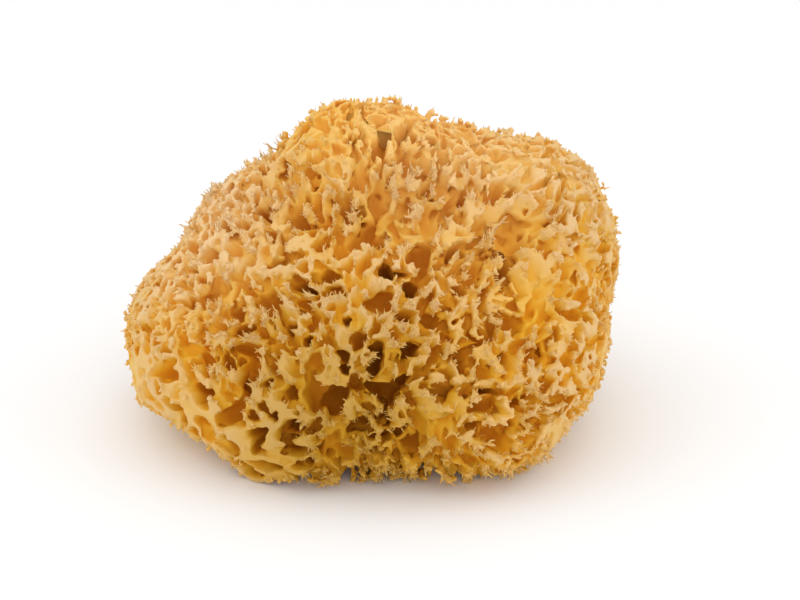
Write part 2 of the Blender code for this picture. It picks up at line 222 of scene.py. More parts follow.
# How the walls stand
BASE_SINK = 0.5  # how far the walls' tops lie below the body's outline
WALL_ROUNDING = 0.1
TOP_UNEVENNESS = ((4.5, 0.65), (11.0, 0.7))  # (feature size, height) of the walls' tops
LOWEST_TOP = 2.0  # the walls' tops lie no further below the body's outline than this
RAGGED_TOP = (1.3, 0.18)  # (feature size, height) of what is uneven on all walls, most on their tops
RAGGED_DEPTH, LEAST_RAGGED = 2.5, 0.2  # over how many mm it fades going in, and to which share
CREVICE_APART, CREVICE_DEPTH, CREVICE_WIDTH = 9.0, 0.9, 0.45
CORE_DEPTH = 17.0  # nothing is carved deeper than this

# Parts of the surface that differ
SMOOTH_CORNER = (-12.0, 4.0, 34.0)  # walls are smooth left of, in front of and below this place
SMOOTH_FADE = 10.0
MIDDLE_X = 3.0
ENDS_FROM, ENDS_FADE = 40.0, 18.0  # mm to the left and right of the middle
FLAMES_BETWEEN, FLAMES_ABOVE = (-6.0, 55.0), 36.0  # x and z of the walls that stand up like flames
FLAMES_FADE = 12.0
TOP_FROM, TOP_BLEND = 0.6, 0.25  # the upward part of the outline's normal where the top starts
QUIET_PATCHES = 13.0, 1.3, 0.25  # feature size, how strong they are, and how much that is lowered
QUIET_WALL = 0.3  # how much wider the walls are where the surface is quiet
SMOOTH_WALL = 0.6  # the same where the walls are smooth
QUIET_SIZE = 0.68  # how wide a canal is where it is quiet, as a share of its size elsewhere
QUIET_DEPTH = 0.42  # the same for its depth

# Canals
SEEN_TO_REAL = 0.72, 0.022  # a front canal's own size as a share of the dark patch that shows, and
# what that share grows by for each mm of its depth
MORE_SIZE, MORE_DEPTH = 0.3, 1.0  # mm added to each front canal's half sizes and depth
BEFORE_MOUTH = 3.5  # mm outwards from its mouth that a canal is carved
MOUTH_FLARE = 0.42  # how much wider a narrow canal is at its mouth
WIDEST_FLARE = 0.85  # mm that a wide one is wider there
MOST_FLARE = 1.2  # how much wider any canal gets in its notches
FLARE_DEPTH, FLARE_ABOVE = 1.8, 1.5  # mm in which the flare fades, and mm before the mouth where it starts
NOTCHES = ((0.6, 2.6, 1), (0.5, 4.2, -3))  # (depth, how many for each mm of radius, turn) round a mouth
SMOOTH_NOTCHES = 0.85  # how much shallower they are where the walls are smooth
BULGES = ((0.15, 3, 1), (0.09, 5, -2))  # (height, how many, turn) round a canal
CLOSING = 0.55, 0.45  # the share of its depth where a canal starts to close, and the rest
CANAL_TURN = 6  # how far from one to the next the notches and bulges turn
OVAL_TURN = 0.1  # a canal's own oval turns by this share of that
CARVING_ROOM = 2.0

# Kinds of canal that fill the surface:
# (name, radii, depth in radii, wall, lean, directions tried)
FILLERS = (
    ("wide", (2.2, 3.6), 2.8, 1.1, 0.4, 3000),
    ("middle", (1.5, 2.9), 2.7, 0.7, 0.7, 24000),
    ("small", (0.55, 0.9), 2.2, 0.4, 0.75, 4000),
)
SUNK = 2.0  # mm added to their depth for the unevenness of the walls' tops
ON_CUT = 0.1  # mm above the cut up to which a mouth lies on it
SEEN_UP_TO = 0.1  # how far a direction points away from the viewer where the front ends
MOST_QUIET = 0.5  # the wide ones don't stand where it is more quiet than this
SMALL_FROM = 0.2  # how smooth it gets before the small ones grow rare
AXIS_SCATTER, CUT_SCATTER = 0.16, 0.2
LONGEST, LONGER_FLAMES = 1.5, 0.4  # how oval a canal is at most, and how much more among the flames
ROUNDED = 0.7  # how much rounder it is where the walls are smooth

# Short holes from one canal to the next
WINDOWS = 420
WINDOW_RADII, WINDOW_OVAL = (0.6, 1.2), 1.3
WINDOW_DEPTHS = (1.2, 4.5)
WINDOW_LENGTH = 5.0
WINDOWS_ABOVE, WINDOWS_QUIET = 3.0, 0.3  # the lowest one's height, and the most quiet place

# Small pits in what the canals left smooth, on the walls' tops as well as inside the wide canals
PIT_SPACING = 3.6
PIT_RADII, PIT_OVAL = (0.45, 0.85), 1.6
PIT_DEPTHS = (1.5, 3.0)
PIT_AREA = 3.8  # mm across, over which a place has to be flat
PIT_FLATNESS = 0.07, 0.14  # how far the share of tissue around it may be from a half; where it is quiet
PIT_BELOW = (0.1, 8.0)  # how far below the body's outline they lie
PIT_ABOVE = 1.5  # mm above the cut
PIT_TRIES = 110000
PIT_SCATTER = 0.3
PITS_QUIETER = 0.35  # how rare they get where it is quiet, with 1 for none at all
PITS_SHALLOWER, LEAST_PIT = 1.4, 0.4  # how much shallower they get with that, and the least share left

Canal = namedtuple("Canal", "mouth axis width height depth")

# Thorns stand all over the body's outline before the canals are carved, so the walls' tops keep them
THORN_TRIES = 40000
THORN_SPACING = 1.9
THORN_HEIGHT = (0.5, 1.6)
THORN_WIDTH = (0.6, 1.1)
THORN_HOLLOW = 1.5  # the power that its flanks follow
THORN_FOOT = 0.6
THORN_FLOW, THORN_SCATTER = 0.4, 0.2
SMOOTH_THORNS, QUIET_THORNS = 0.75, 0.5  # how much lower they are where walls are smooth, or it is quiet
LOWEST_GROWTH = 1.0  # mm above the cut where thorns and tongues start


# Geometry that follows part.py's

def lobe_distance(points, centre, half):
    """Roughly how far points are outside one swelling."""
    offset = points - np.array(centre, float)
    half = np.array(half, float)
    inner = np.linalg.norm(offset / half, axis=-1)
    slope = np.linalg.norm(offset / half**2, axis=-1)
    return inner * (inner - 1) / np.maximum(slope, 1e-9)


def body_distance(points):
    """Roughly how far points are outside the swellings together."""
    near = sum(np.exp(-lobe_distance(points, *lobe) / LOBE_BLEND) for lobe in LOBES.values())
    return -LOBE_BLEND * np.log(near)


def unit(vectors):
    return vectors / np.linalg.norm(vectors, axis=-1, keepdims=True)


def reach(directions):
    """How far the body's outline or the cut is from the heart in each direction."""
    low = np.zeros(len(directions))
    high = np.full(len(directions), FARTHEST)
    for _ in range(HALVINGS):
        middle = (low + high) / 2
        points = HEART + directions * middle[:, None]
        inside = (body_distance(points) < 0) & (points[:, 2] > 0)
        low = np.where(inside, middle, low)
        high = np.where(inside, high, middle)
    return low


def spread_directions(count):
    """Directions spread evenly over a sphere."""
    index = np.arange(count) + 0.5
    polar = np.arccos(1 - 2 * index / count)
    turn = math.pi * (1 + math.sqrt(5)) * index
    return np.stack(
        [np.cos(turn) * np.sin(polar), np.sin(turn) * np.sin(polar), np.cos(polar)], axis=-1
    )


def flow(places):
    """The way that ribs and fibre ends run at a place: up, and fanning out to the sides."""
    ways = places * np.array([1.0, 0.0, 0.0]) + UPWARD * FAN_HEIGHT
    return unit(ways)


def canal_axis(mouth, lean=LEAN):
    """The way a canal runs in from its mouth: towards the heart, and dropping."""
    inward = unit(HEART - mouth)
    inward[2] -= lean * min(max(mouth[2] / LEAN_FULL_AT, 0.0), 1.0)
    return unit(inward)


AHEAD = np.array([0.0, math.cos(VIEW_ELEVATION), -math.sin(VIEW_ELEVATION)])
UP = np.array([0.0, math.sin(VIEW_ELEVATION), math.cos(VIEW_ELEVATION)])
EYE = VIEW_AIM - AHEAD * VIEW_DISTANCE


def front_canals():
    """The measured canals, each found along the line of sight to its mouth."""
    found = []
    for across, height, half_width, half_height, depth in FRONT_CANALS:
        share = SEEN_TO_REAL[0] + SEEN_TO_REAL[1] * depth
        through = np.array([across, VIEW_AIM[1], VIEW_AIM[2]]) + UP * height
        ahead = np.linspace(-SIGHT_REACH, SIGHT_REACH, SIGHT_PLACES)
        line = through + unit(through - EYE) * ahead[:, None]
        inside = np.nonzero((body_distance(line) < 0) & (line[:, 2] > 0))[0]
        if len(inside):
            mouth = line[inside[0]]
            found.append(Canal(mouth, canal_axis(mouth), half_width * share + MORE_SIZE,
                               half_height * share + MORE_SIZE, depth + MORE_DEPTH))
    return found


def smooth_part(places):
    """From 0 to 1: how far places belong to the low left front, whose walls are smooth."""
    left, front, low = (edge - places[..., axis] for axis, edge in enumerate(SMOOTH_CORNER))
    return np.clip(np.minimum(np.minimum(left, low), front) / SMOOTH_FADE, 0, 1)


def end_part(places):
    """From 0 to 1: how far places belong to the two ends, where all is finer and lower."""
    return np.clip((np.abs(places[..., 0] - MIDDLE_X) - ENDS_FROM) / ENDS_FADE, 0, 1)


def top_part(rise):
    """From 0 to 1: how far places belong to the top, from how fast one leaves the body going up there."""
    return np.clip((rise - TOP_FROM) / TOP_BLEND, 0, 1)


def quiet_parts(places):
    """From 0 to 1: how far places belong to the ends, the top and the patches with few, shallow pits."""
    size, strength, lowered = QUIET_PATCHES
    waves = np.array([mathutils.noise.noise(Vector(place) / size) for place in places])
    patches = waves * strength - lowered
    top = top_part(body_distance(places + UPWARD) - body_distance(places))
    return np.clip(np.maximum(np.maximum(end_part(places), patches), top), 0, 1)


def flame_part(place):
    """From 0 to 1: how far a place belongs to the upper right, whose walls stand up like flames."""
    left, right = FLAMES_BETWEEN
    inside = min(place[0] - left, place[2] - FLAMES_ABOVE, right - place[0])
    return min(max(inside / FLAMES_FADE, 0.0), 1.0)


OPEN_AIR = 4.0  # mm outside the body's outline, where all is air
MENDED = 0.2  # mm that a place counts as inside once filled, or outside once removed


class Crowd:
    """Round places with room kept between them, found quickly in cells of space."""

    CELL = 9.0

    def __init__(self):
        self.cells = {}

    def key(self, place):
        return tuple((place // self.CELL).astype(int))

    def add(self, place, radius):
        self.cells.setdefault(self.key(place), []).append((*place, radius))

    def has_room(self, place, radius, gap):
        i, j, k = self.key(place)
        near = []
        for a in (i - 1, i, i + 1):
            for b in (j - 1, j, j + 1):
                for c in (k - 1, k, k + 1):
                    near += self.cells.get((a, b, c), ())
        if not near:
            return True
        near = np.array(near)
        apart = np.linalg.norm(near[:, :3] - place, axis=1) - near[:, 3]
        return apart.min() > radius + gap


def filling_canals(crowd, chance):
    """Canals and pits wherever the surface still has room, the wide ones first."""
    found = []
    for name, radii, depth, wall, lean, tries in FILLERS:
        directions = spread_directions(tries)
        surface = HEART + directions * reach(directions)[:, None]
        seen = directions @ AHEAD < SEEN_UP_TO
        smooth, quiet = smooth_part(surface), quiet_parts(surface)
        walls = wall + QUIET_WALL * quiet + SMOOTH_WALL * smooth
        for index in chance.permutation(tries):
            mouth = surface[index]
            on_cut = mouth[2] < ON_CUT
            radius = chance.uniform(*radii) * (1 + (QUIET_SIZE - 1) * quiet[index])
            if name == "wide" and not on_cut and (seen[index] or quiet[index] > MOST_QUIET):
                continue
            if name == "small" and smooth[index] > chance.uniform(SMALL_FROM, 1.0):
                continue
            if not crowd.has_room(mouth, radius, walls[index]):
                continue
            crowd.add(mouth, radius)
            axis = unit(canal_axis(mouth, lean) + chance.normal(0, AXIS_SCATTER, 3))
            if on_cut:
                axis = unit(UPWARD + chance.normal(0, CUT_SCATTER, 3))
            longest = LONGEST + LONGER_FLAMES * flame_part(mouth)
            longer = chance.uniform(1.0, longest) ** (1 - ROUNDED * smooth[index])
            depth_here = radius * depth * (1 + (QUIET_DEPTH - 1) * quiet[index]) + SUNK
            found.append(Canal(mouth, axis, radius / longer, radius * longer, depth_here))
    return found


def windows(chance):
    """Short holes below the walls' tops that open one canal to another."""
    found = []
    directions = spread_directions(WINDOWS)
    places = HEART + directions * reach(directions)[:, None]
    for place, direction, quiet in zip(places, directions, quiet_parts(places)):
        if place[2] < WINDOWS_ABOVE or quiet > WINDOWS_QUIET:
            continue
        along = unit(np.cross(direction, chance.normal(0, 1, 3)))
        inside = place - direction * chance.uniform(*WINDOW_DEPTHS)
        radius = chance.uniform(*WINDOW_RADII)
        start = inside - along * WINDOW_LENGTH / 2
        found.append(Canal(start, along, radius, radius * WINDOW_OVAL, WINDOW_LENGTH))
    return found


# Carving on the grid

def noise(shape, cell, chance):
    """Smooth noise of about unit height, with features cell mm wide."""
    counts = [math.ceil(n * STEP / cell) + 3 for n in shape]
    values = chance.normal(0, 1.4, counts).astype(np.float32)
    for axis, n in enumerate(shape):
        at = np.arange(n) * STEP / cell
        left = at.astype(int)
        part = at - left
        weights = np.zeros((n, counts[axis]), np.float32)
        curve = [(1 - part) ** 3 / 6, (3 * part**3 - 6 * part**2 + 4) / 6,
                 (-3 * part**3 + 3 * part**2 + 3 * part + 1) / 6, part**3 / 6]
        for offset, share in enumerate(curve):
            np.add.at(weights, (np.arange(n), np.minimum(left + offset, counts[axis] - 1)), share)
        values = np.moveaxis(np.tensordot(weights, values, axes=(1, axis)), 0, axis)
    return values


def smooth_max(a, b, blend):
    between = np.maximum(blend - np.abs(a - b), 0) / blend
    return np.maximum(a, b) + between**2 * blend / 4


def canal_sides(canal, turn):
    """The ways that an oval canal is wide and high, turned a little from the flow."""
    side = unit(np.cross(canal.axis, flow(canal.mouth)) + 1e-3 * AHEAD)
    other = np.cross(side, canal.axis)
    turned, straight = math.sin(turn * OVAL_TURN), math.cos(turn * OVAL_TURN)
    return side * straight + other * turned, other * straight - side * turned


class Carving:
    """How far each point of the grid is outside the sponge, in mm, as it is being carved."""

    def __init__(self, chance):
        self.shape = tuple(np.ceil((GRID_HIGH - GRID_LOW) / STEP).astype(int))
        self.warp(chance)
        axes = [GRID_LOW[a] + STEP * COARSE * np.arange(self.shape[a] // COARSE + 3) for a in range(3)]
        outline = body_distance(np.stack(np.meshgrid(*axes, indexing="ij"), axis=-1)).astype(np.float32)
        for axis, n in enumerate(self.shape):
            at = np.arange(n) / COARSE
            left = at.astype(int)
            part = (at - left).astype(np.float32).reshape([-1 if a == axis else 1 for a in range(3)])
            outline = np.take(outline, left, axis) * (1 - part) + np.take(outline, left + 1, axis) * part
        self.outline = outline
        crevices = np.clip(1 - np.abs(noise(self.shape, CREVICE_APART, chance)) / CREVICE_WIDTH, 0, 1)
        sink = BASE_SINK + crevices * CREVICE_DEPTH
        for size, height in TOP_UNEVENNESS:
            sink += noise(self.shape, size, chance) * height
        self.field = outline + np.minimum(sink, LOWEST_TOP)

    def warp(self, chance):
        """Where each grid point counts as being, so that canals and walls come out uneven."""
        self.places = []
        for axis, n in enumerate(self.shape):
            places = (GRID_LOW[axis] + STEP * np.arange(n)).astype(np.float32)
            places = places.reshape([-1 if a == axis else 1 for a in range(3)])
            for size, amount in WARPS:
                places = places + noise(self.shape, size, chance) * amount
            self.places.append(places)

    def block(self, low, high):
        """The part of the grid from one corner to another, as slices."""
        first = np.maximum(np.floor((low - GRID_LOW) / STEP).astype(int), 0)
        last = np.minimum(np.ceil((high - GRID_LOW) / STEP).astype(int), self.shape)
        return tuple(slice(a, b) for a, b in zip(first, last))

    def carve(self, canal):
        """Takes an oval canal away, wide at the mouth and closing at its end."""
        size = max(canal.width, canal.height) * (1 + MOUTH_FLARE) + CARVING_ROOM
        start, end = canal.mouth - canal.axis * BEFORE_MOUTH, canal.mouth + canal.axis * canal.depth
        where = self.block(np.minimum(start, end) - size, np.maximum(start, end) + size)
        x, y, z = (place[where] - m for place, m in zip(self.places, canal.mouth))
        turn = CANAL_TURN * np.sin(canal.mouth.sum() * 7)
        side, other = canal_sides(canal, turn)
        along = x * canal.axis[0] + y * canal.axis[1] + z * canal.axis[2]
        a = (x * side[0] + y * side[1] + z * side[2]) / canal.width
        b = (x * other[0] + y * other[1] + z * other[2]) / canal.height
        narrow, around = min(canal.width, canal.height), np.arctan2(b, a)
        jagged = 1 - SMOOTH_NOTCHES * smooth_part(canal.mouth)
        notches = 1 + jagged * sum(depth * np.cos(round(count * narrow) * around + shift * turn)
                                   for depth, count, shift in NOTCHES)
        widest = min(MOUTH_FLARE, WIDEST_FLARE / narrow)
        flare = widest * np.exp(-np.maximum(along, -FLARE_ABOVE) / FLARE_DEPTH) * np.maximum(notches, 0)
        closes_from, closes_in = (canal.depth * share for share in CLOSING)
        closing = np.clip((along - closes_from) / closes_in, 0, 1)
        radius = (1 + np.minimum(flare, MOST_FLARE)) * np.sqrt(1 - closing**2)
        radius = radius * sum((height * np.cos(count * around + shift * turn)
                               for height, count, shift in BULGES), 1)
        gap = np.maximum((np.sqrt(a * a + b * b) - radius) * narrow, along - canal.depth)
        blend = min(WALL_ROUNDING, narrow / 2)
        self.field[where] = smooth_max(self.field[where], -gap, blend)

    def raise_thorn(self, foot, axis, height, width):
        """Adds a sharp thorn with hollow flanks."""
        where = self.block(foot - width - height - 1, foot + width + height + 1)
        x, y, z = (place[where] - f for place, f in zip(self.places, foot))
        along = x * axis[0] + y * axis[1] + z * axis[2]
        across = np.sqrt(np.maximum(x * x + y * y + z * z - along * along, 0))
        left = np.clip(1 - along / height, 0, 1)
        gap = np.maximum(across - width * left**THORN_HOLLOW, along - height)
        self.field[where] = np.minimum(self.field[where], np.maximum(gap, -THORN_FOOT - along))

    def raise_tongue(self, tongue):
        """Adds a flat, tapering tongue that stands on a wall."""
        foot, axis, side, length, width = tongue
        top, room = foot + axis * length, width + TONGUE_ROOM
        where = self.block(np.minimum(foot, top) - room, np.maximum(foot, top) + room)
        x, y, z = (place[where] - f for place, f in zip(self.places, foot))
        along = np.clip((x * axis[0] + y * axis[1] + z * axis[2]) / length, 0, 1)
        x, y, z = (q - along * length * a for q, a in zip((x, y, z), axis))
        across = x * side[0] + y * side[1] + z * side[2]
        spread = 1 / TONGUE_FLATNESS**2 - 1
        distance = np.sqrt(np.maximum(x * x + y * y + z * z + spread * across * across, 0))
        gap = distance - width * TONGUE_FLATNESS * (1 - (1 - TONGUE_TIP) * along)
        self.field[where] = -smooth_max(-self.field[where], -gap, TONGUE_BLEND)

    def keep_joined(self):
        """Fills what the outside air doesn't reach and removes what hangs loose."""
        air = reached(self.field > 0, self.outline > OPEN_AIR)
        self.field[(self.field > 0) & ~air] = -MENDED
        solid = reached(self.field < 0, self.outline < -CORE_DEPTH - 2)
        self.field[(self.field < 0) & ~solid] = MENDED


def slope(solid, places):
    """Which way there is most room at each place, from how full the grid is around it."""
    way = np.zeros((len(places), 3), np.float32)
    for axis in range(3):
        offset = np.zeros(3)
        offset[axis] = 1.0
        way[:, axis] = sampled(solid, places - offset) - sampled(solid, places + offset)
    return unit(way + 1e-6)


def second_pits(carving, chance):
    """Pits where the carved surface is still flat."""
    solid = blurred((carving.field < 0).astype(np.float32), PIT_AREA)
    flat = (np.abs(carving.field) < STEP / 2) & (np.abs(solid - 0.5) < PIT_FLATNESS[1])
    flat &= (carving.outline < -PIT_BELOW[0]) & (carving.outline > -PIT_BELOW[1])
    cells = np.argwhere(flat)
    cells = cells[chance.permutation(len(cells))[:PIT_TRIES]]
    places = cells * STEP + GRID_LOW
    quiet = quiet_parts(places)
    level = np.abs(sampled(solid, places) - 0.5) < PIT_FLATNESS[0] + np.ptp(PIT_FLATNESS) * quiet
    places, quiet = places[level], quiet[level]
    crowd, found = Crowd(), []
    fewer = np.maximum(smooth_part(places), PITS_QUIETER * quiet)
    for place, outward, few in zip(places, slope(solid, places), fewer):
        if place[2] > PIT_ABOVE and chance.uniform() > few and crowd.has_room(place, 0.0, PIT_SPACING):
            crowd.add(place, 0.0)
            radius, depth = chance.uniform(*PIT_RADII), chance.uniform(*PIT_DEPTHS)
            axis = unit(chance.normal(0, PIT_SCATTER, 3) - outward)
            longer = chance.uniform(1, PIT_OVAL)
            shallower = max(1 - PITS_SHALLOWER * few, LEAST_PIT)
            found.append(Canal(place, axis, radius, radius * longer, depth * shallower))
    return found


def reached(open_cells, start):
    """The cells of the grid that can be reached from start through open ones."""
    shape = open_cells.shape
    steps = np.array([shape[1] * shape[2], shape[2], 1])
    steps = np.concatenate([steps, -steps])
    way = open_cells.copy()
    for axis in range(3):
        ends = [slice(None)] * 3
        ends[axis] = [0, -1]
        way[tuple(ends)] = False
    way, seen = way.ravel(), (start & open_cells).ravel().copy()
    edge = np.zeros(len(seen), bool)
    for step in steps:
        edge |= np.roll(seen, -step)
    edge = np.flatnonzero(edge & way & ~seen)
    while len(edge):
        seen[edge] = True
        nearby = (edge[:, None] + steps).ravel()
        nearby = nearby[way[nearby] & ~seen[nearby]]
        edge = np.unique(nearby)
    return seen.reshape(shape)


def blurred(values, width):
    """values averaged over a box about width mm wide, twice."""
    reach_cells = max(1, round(width / STEP / 2))
    for _ in range(2):
        for axis in range(3):
            total = np.cumsum(values, axis=axis, dtype=np.float32)
            total = np.concatenate([np.zeros_like(np.take(total, [0], axis)), total], axis)
            n = values.shape[axis]
            low = np.maximum(np.arange(n) - reach_cells, 0)
            high = np.minimum(np.arange(n) + reach_cells + 1, n)
            wide = (high - low).reshape([-1 if a == axis else 1 for a in range(3)]).astype(np.float32)
            values = (np.take(total, high, axis) - np.take(total, low, axis)) / wide
    return values


def sampled(values, points, cell=1):
    """Values of the grid, or of one with cells of that many steps, at points between its own."""
    at = ((points - GRID_LOW) / STEP - (cell - 1) / 2) / cell
    at = np.clip(at, 0, np.array(values.shape) - 1.001)
    left = at.astype(int)
    part = at - left
    result = np.zeros(len(points), np.float32)
    for corner in range(8):
        offset = np.array([corner >> 2 & 1, corner >> 1 & 1, corner & 1])
        share = np.prod(np.where(offset, part, 1 - part), axis=1)
        i, j, k = (left + offset).T
        result += values[i, j, k] * share
    return result


# Light, which the finish follows: tissue that little light reaches is painted the darkest and most orange,
# painted shade together with the deeper tissue's own darker colour

LIGHT_CELL = 2  # grid steps to a cell
TISSUE_SHADE = 1.1  # how strongly a cell full of tissue dims the light that crosses it
SLANTS = (-0.7, 0.0, 0.7)
FLOOR_LIGHT = 0.55


def slanted(ray, slant):
    """One layer of light moved sideways by parts of a cell."""
    for axis, amount in enumerate(slant):
        if amount:
            ray = ray + abs(amount) * (np.roll(ray, int(math.copysign(1, amount)), axis) - ray)
    return ray


def light_inside(solid):
    """The share of all the light around that gets to each coarse cell."""
    counts = [n // LIGHT_CELL for n in solid.shape]
    blocks = solid[tuple(slice(n * LIGHT_CELL) for n in counts)]
    blocks = blocks.reshape([part for n in counts for part in (n, LIGHT_CELL)]).mean(axis=(1, 3, 5))
    through, light = np.exp(-TISSUE_SHADE * blocks), np.zeros_like(blocks)
    for axis, way, *slant in itertools.product(range(3), (1, -1), SLANTS, SLANTS):
        layers, total = np.moveaxis(through, axis, 0), np.moveaxis(light, axis, 0)
        ray = np.full_like(layers[0], FLOOR_LIGHT if (axis, way) == (2, 1) else 1.0)
        for index in range(len(layers))[::way]:
            total[index] += ray
            ray = slanted(ray * layers[index], slant)
    return light / (6 * len(SLANTS) ** 2)


# Tongues

TONGUE_SPACING = 3.1
TONGUE_LENGTH = (0.4, 2.8)
TONGUE_WIDTH = (0.8, 1.7)  # half of its width where it starts
TONGUE_FLATNESS = 0.5  # its thickness as a share of its width
TONGUE_TIP = 0.12  # its width at the tip as a share of that at the foot
TONGUE_FOOT = 1.1  # how far below the body's outline a tongue starts
TONGUE_CLEARANCE = 0.15  # the narrowest wall, from its middle to a mouth, that carries one
TONGUE_TRIES = 50000
TONGUE_MOUTHS = 6  # how many mouths near a place are looked at
TONGUE_SMOOTH = 0.25  # how smooth it gets before they grow rare
QUIET_TONGUES, FLAME_TONGUES, FLAME_WIDTH = 0.8, 0.7, 0.3  # shorter by, longer by and wider by
TONGUE_FLOW, TONGUE_SCATTER = 0.6, 0.22
TONGUE_ROOM, TONGUE_BLEND = 1.6, 0.5
Tongue = namedtuple("Tongue", "foot axis side length width")


def wall_tongues(canals, chance):
    """Tongues where three or more canals leave a wall between them."""
    tree = kdtree.KDTree(len(canals))
    for index, canal in enumerate(canals):
        tree.insert(canal.mouth, index)
    tree.balance()
    radii = [math.sqrt(canal.width * canal.height) for canal in canals]
    directions = spread_directions(TONGUE_TRIES)
    surface = HEART + directions * reach(directions)[:, None]
    surface = surface[surface[:, 2] > LOWEST_GROWTH]
    near = [[(d - radii[i], i) for _, i, d in tree.find_n(place, TONGUE_MOUTHS)] for place in surface]
    clear = np.array([min(gaps)[0] for gaps in near])
    smooth, quiet = smooth_part(surface), quiet_parts(surface)
    crowd, tongues = Crowd(), []
    for index in np.argsort(-clear):
        place = surface[index]
        if clear[index] < TONGUE_CLEARANCE:
            break
        if smooth[index] > chance.uniform(TONGUE_SMOOTH, 1.0):
            continue
        if crowd.has_room(place, 0.0, TONGUE_SPACING):
            crowd.add(place, 0.0)
            outward = -canal_axis(place)
            lively = 1 - QUIET_TONGUES * quiet[index] + FLAME_TONGUES * flame_part(place)
            axis = unit(outward + TONGUE_FLOW * flow(place) + chance.normal(0, TONGUE_SCATTER, 3))
            side = unit(np.cross(axis, place - canals[min(near[index])[1]].mouth))
            length = chance.uniform(*TONGUE_LENGTH) * lively + TONGUE_FOOT
            width = chance.uniform(*TONGUE_WIDTH) * (1 + FLAME_WIDTH * flame_part(place))
            tongues.append(Tongue(place - outward * TONGUE_FOOT, axis, side, length, width))
    return tongues


def raise_thorns(carving, chance):
    directions = spread_directions(THORN_TRIES)
    surface = HEART + directions * reach(directions)[:, None]
    quiet = quiet_parts(surface)
    crowd = Crowd()
    for index in chance.permutation(len(surface)):
        place = surface[index]
        if place[2] > LOWEST_GROWTH and crowd.has_room(place, 0.0, THORN_SPACING):
            crowd.add(place, 0.0)
            height = chance.uniform(*THORN_HEIGHT)
            height = height * (1 - SMOOTH_THORNS * smooth_part(place)) * (1 - QUIET_THORNS * quiet[index])
            axis = unit(-canal_axis(place) + THORN_FLOW * flow(place) + chance.normal(0, THORN_SCATTER, 3))
            carving.raise_thorn(place, axis, height, chance.uniform(*THORN_WIDTH))


def carved_sponge():
    """The carved grid."""
    chance = np.random.default_rng(SEED)
    carving = Carving(chance)
    crowd = Crowd()
    canals = front_canals()
    for canal in canals:
        crowd.add(canal.mouth, math.sqrt(canal.width * canal.height))
    canals += filling_canals(crowd, chance)
    holes = windows(chance)
    raise_thorns(carving, chance)
    for canal in canals + holes:
        carving.carve(canal)
    pits = second_pits(carving, chance)
    for canal in pits:
        carving.carve(canal)
    tongues = wall_tongues(canals, chance)
    for tongue in tongues:
        carving.raise_tongue(tongue)
    size, height = RAGGED_TOP
    fading = np.clip(1 + carving.outline / RAGGED_DEPTH, LEAST_RAGGED, 1)
    carving.field += noise(carving.shape, size, chance) * fading * height
    carving.field = np.minimum(carving.field, carving.outline + CORE_DEPTH)
    height = (GRID_LOW[2] + STEP * np.arange(carving.shape[2])).astype(np.float32)
    carving.field = np.maximum(carving.field, -height)
    carving.keep_joined()
    return carving


# Meshes

TARGET_TRIANGLES = 165000
DETAIL_KEPT_OUTSIDE = 3e-6  # how much rather the deep parts are thinned than the outer ones
DEEP_BETWEEN, DEEP_LEVELS = (1.0, 6.0), 8  # mm below the outline, and in how many levels


def mesh_of(points, triangles, name):
    """A mesh in metres from points in mm and triangles."""
    mesh = bpy.data.meshes.new(name)
    mesh.vertices.add(len(points))
    mesh.vertices.foreach_set("co", (points * MM).astype(np.float32).ravel())
    mesh.loops.add(len(triangles) * 3)
    mesh.loops.foreach_set("vertex_index", triangles.astype(np.int32).ravel())
    mesh.polygons.add(len(triangles))
    mesh.polygons.foreach_set("loop_start", np.arange(len(triangles), dtype=np.int32) * 3)
    mesh.update(calc_edges=True)
    return mesh


def apply_modifiers(piece):
    """Makes the piece a plain mesh with its modifiers applied."""
    bpy.context.view_layer.update()
    graph = bpy.context.evaluated_depsgraph_get()
    mesh = bpy.data.meshes.new_from_object(piece.evaluated_get(graph))
    piece.modifiers.clear()
    old, piece.data = piece.data, mesh
    mesh.name = piece.name
    bpy.data.meshes.remove(old)


def skin(field, outline, name):
    """The surface where field is 0, thinned to the most triangles that a piece may have."""
    grid = openvdb.FloatGrid(2.0)
    grid.gridClass = openvdb.GridClass.LEVEL_SET
    grid.copyFromArray(np.ascontiguousarray(field, np.float32))
    points, triangles, quads = grid.convertToPolygons(isovalue=0.0, adaptivity=0.0)
    quads = quads[:, ::-1]
    across = np.linalg.norm(points[quads[:, 0]] - points[quads[:, 2]], axis=1)
    other = np.linalg.norm(points[quads[:, 1]] - points[quads[:, 3]], axis=1)
    halves = np.where((across < other)[:, None, None],
                      quads[:, [[0, 1, 2], [0, 2, 3]]], quads[:, [[0, 1, 3], [1, 2, 3]]])
    faces = np.concatenate([halves.reshape(-1, 3), triangles[:, ::-1].reshape(-1, 3)])
    places = points * STEP + GRID_LOW
    piece = bpy.data.objects.new(name, mesh_of(places, faces, name))
    bpy.context.scene.collection.objects.link(piece)
    if len(faces) > TARGET_TRIANGLES:
        deep = piece.vertex_groups.new(name="deep")
        levels = np.round(steps(-sampled(outline, places), *DEEP_BETWEEN) * DEEP_LEVELS).astype(int)
        for level in range(DEEP_LEVELS + 1):
            deep.add(np.flatnonzero(levels == level).tolist(), level / DEEP_LEVELS, "REPLACE")
        thin = piece.modifiers.new("thin", "DECIMATE")
        thin.ratio = TARGET_TRIANGLES / len(faces)
        thin.use_collapse_triangulate = True
        thin.vertex_group = deep.name
        thin.vertex_group_factor = DETAIL_KEPT_OUTSIDE
        apply_modifiers(piece)
        piece.vertex_groups.clear()
    piece.data.shade_smooth()
    return piece


def points_of(mesh):
    places = np.empty(len(mesh.vertices) * 3, np.float32)
    mesh.vertices.foreach_get("co", places)
    return places.reshape(-1, 3) / MM


def normals_of(mesh):
    normals = np.empty(len(mesh.vertices) * 3, np.float32)
    mesh.vertex_normals.foreach_get("vector", normals)
    return normals.reshape(-1, 3)


